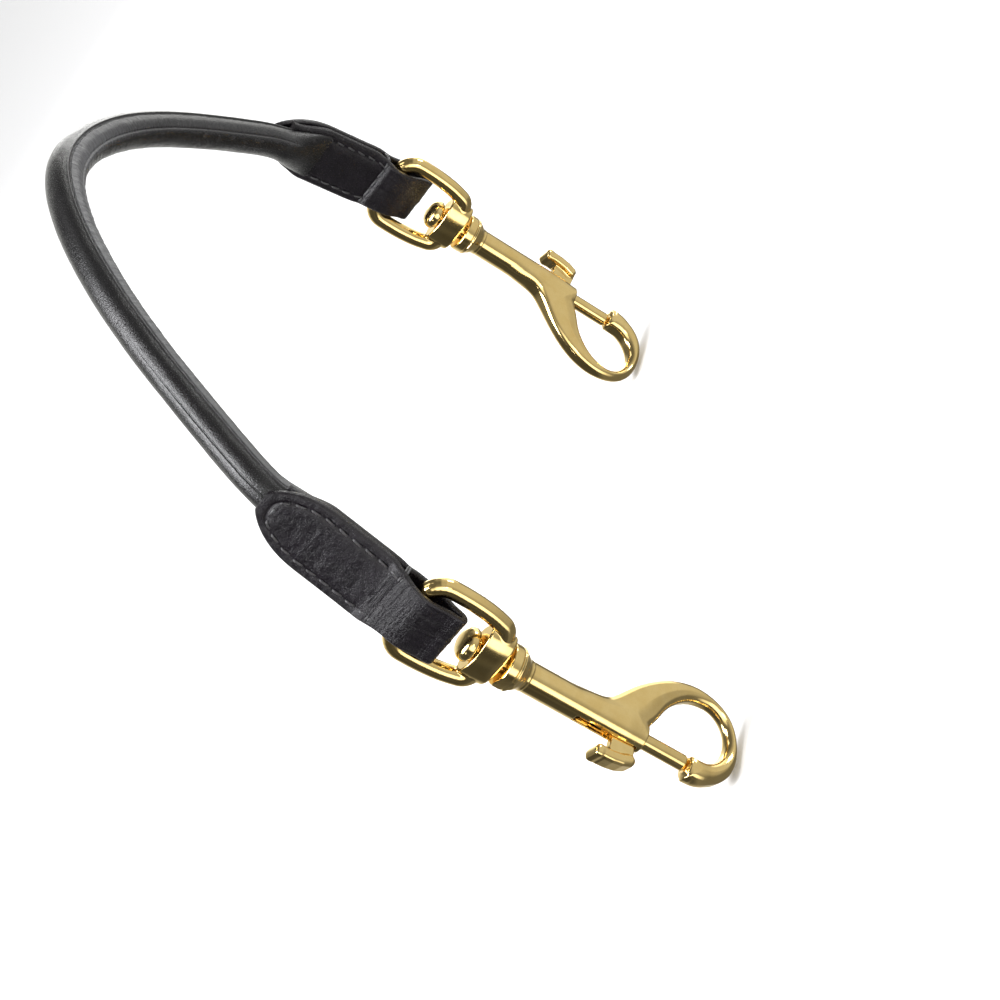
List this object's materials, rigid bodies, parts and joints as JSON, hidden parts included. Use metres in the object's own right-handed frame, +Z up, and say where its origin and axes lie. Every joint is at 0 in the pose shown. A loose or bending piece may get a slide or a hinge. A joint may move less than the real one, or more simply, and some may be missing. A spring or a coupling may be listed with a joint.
{
  "type": "saddle grab strap",
  "caption": "Rolled leather grab handle arched between stitched end tabs, each carrying a brass swivel bolt snap.",
  "frame": {"origin": "midway between the two snaps on the arch's centre plane, level with the lowest point of the hooks", "axes": "+X from the left snap to the right snap, +Y across the strap's width, +Z up the arch"},
  "size_m": [0.2378, 0.026, 0.2026],
  "materials": {
    "brass": "polished, gold-coloured",
    "leather": "smooth black, lightly waxed",
    "thread": "waxed black thread",
    "cord": "twisted cotton cord",
    "filler": "undyed split leather",
    "spring": "bright drawn wire"
  },
  "bodies": {
    "handle_left": {"strap_left": "leather", "core_cord_left": "cord", "tab_filler_left": "filler", "tab_stitching_left": "thread", "seam_stitching_left": "thread"},
    "left_eye": {"left_swivel_eye": "brass"},
    "left_snap": {"left_hook_body": "brass", "left_swivel_stud": "brass", "left_spring": "spring"},
    "left_plunger": {"left_bolt": "brass", "left_thumb_lug": "brass"},
    "handle_right": {"strap_right": "leather", "core_cord_right": "cord", "tab_filler_right": "filler", "tab_stitching_right": "thread", "seam_stitching_right": "thread"},
    "right_eye": {"right_swivel_eye": "brass"},
    "right_snap": {"right_hook_body": "brass", "right_swivel_stud": "brass", "right_spring": "spring"},
    "right_plunger": {"right_bolt": "brass", "right_thumb_lug": "brass"}
  },
  "joints": [
    {"name": "arch_flex", "type": "hinge", "parent": "handle_left", "child": "handle_right", "pos_m": [0, 0, 0.19767], "axis": [0, 1, 0], "range_deg": [-15, 20], "stiffness_Nm_per_rad": 0.6},
    {"name": "left_eye_tilt", "type": "hinge", "parent": "handle_left", "child": "left_eye", "pos_m": [-0.1079, 0, 0.09567], "axis": [0, 1, 0], "range_deg": [-60, 120]},
    {"name": "left_swivel", "type": "hinge", "parent": "left_eye", "child": "left_snap", "pos_m": [-0.1079, 0, 0.06707], "axis": [0, 0, 1], "continuous": true},
    {"name": "left_bolt_slide", "type": "slide", "parent": "left_snap", "child": "left_plunger", "axis": [0, 0, 1], "range_m": [0, 0.0105], "stiffness_N_per_m": 250, "springref_m": -0.008, "deforming": ["left_spring"]},
    {"name": "right_eye_tilt", "type": "hinge", "parent": "handle_right", "child": "right_eye", "pos_m": [0.1079, 0, 0.09567], "axis": [0, -1, 0], "range_deg": [-60, 120]},
    {"name": "right_swivel", "type": "hinge", "parent": "right_eye", "child": "right_snap", "pos_m": [0.1079, 0, 0.06707], "axis": [0, 0, 1], "continuous": true},
    {"name": "right_bolt_slide", "type": "slide", "parent": "right_snap", "child": "right_plunger", "axis": [0, 0, 1], "range_m": [0, 0.0105], "stiffness_N_per_m": 250, "springref_m": -0.008, "deforming": ["right_spring"]}
  ]
}
